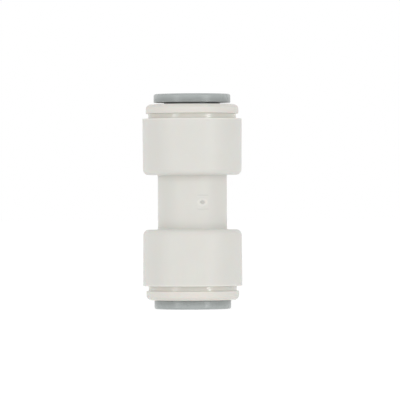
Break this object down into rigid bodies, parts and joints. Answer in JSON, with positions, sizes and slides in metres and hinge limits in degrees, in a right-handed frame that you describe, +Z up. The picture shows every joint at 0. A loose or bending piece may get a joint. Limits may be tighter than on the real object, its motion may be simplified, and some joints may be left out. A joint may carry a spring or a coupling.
{
  "type": "push-fit union connector",
  "caption": "Straight push-fit union that joins plastic tubes end to end: white body with a bell at each end, end caps, and grey sliding collets with grip teeth.",
  "frame": {"origin": "on the fitting's axis, at the outer face of the lower collet, which it stands on", "axes": "+Z up along the fitting's axis; -Y is the front of the picture, with the gate mark on the neck turned 18 degrees from it towards +X"},
  "size_m": [0.02, 0.02, 0.0433],
  "materials": {
    "white_moulding": "semi-gloss moulded polypropylene",
    "white_cap": "semi-gloss moulded polypropylene",
    "grey_collet": "semi-gloss moulded acetal",
    "black_rubber": "smooth moulded rubber",
    "tooth_steel": "bright stamped stainless steel"
  },
  "bodies": {
    "fitting": {"body": "white_moulding", "upper_end_cap": "white_cap", "lower_end_cap": "white_cap", "upper_o_ring": "black_rubber", "lower_o_ring": "black_rubber"},
    "upper_release_collet": {"upper_collet": "grey_collet", "upper_tooth_1": "tooth_steel", "upper_tooth_2": "tooth_steel", "upper_tooth_3": "tooth_steel", "upper_tooth_4": "tooth_steel", "upper_tooth_5": "tooth_steel", "upper_tooth_6": "tooth_steel", "upper_tooth_7": "tooth_steel", "upper_tooth_8": "tooth_steel"},
    "lower_release_collet": {"lower_collet": "grey_collet", "lower_tooth_1": "tooth_steel", "lower_tooth_2": "tooth_steel", "lower_tooth_3": "tooth_steel", "lower_tooth_4": "tooth_steel", "lower_tooth_5": "tooth_steel", "lower_tooth_6": "tooth_steel", "lower_tooth_7": "tooth_steel", "lower_tooth_8": "tooth_steel"}
  },
  "joints": [
    {"name": "upper_collet_slide", "type": "slide", "parent": "fitting", "child": "upper_release_collet", "axis": [0, 0, 1], "range_m": [-0.0003, 0.0013]},
    {"name": "lower_collet_slide", "type": "slide", "parent": "fitting", "child": "lower_release_collet", "axis": [0, 0, -1], "range_m": [0, 0.0016]}
  ]
}
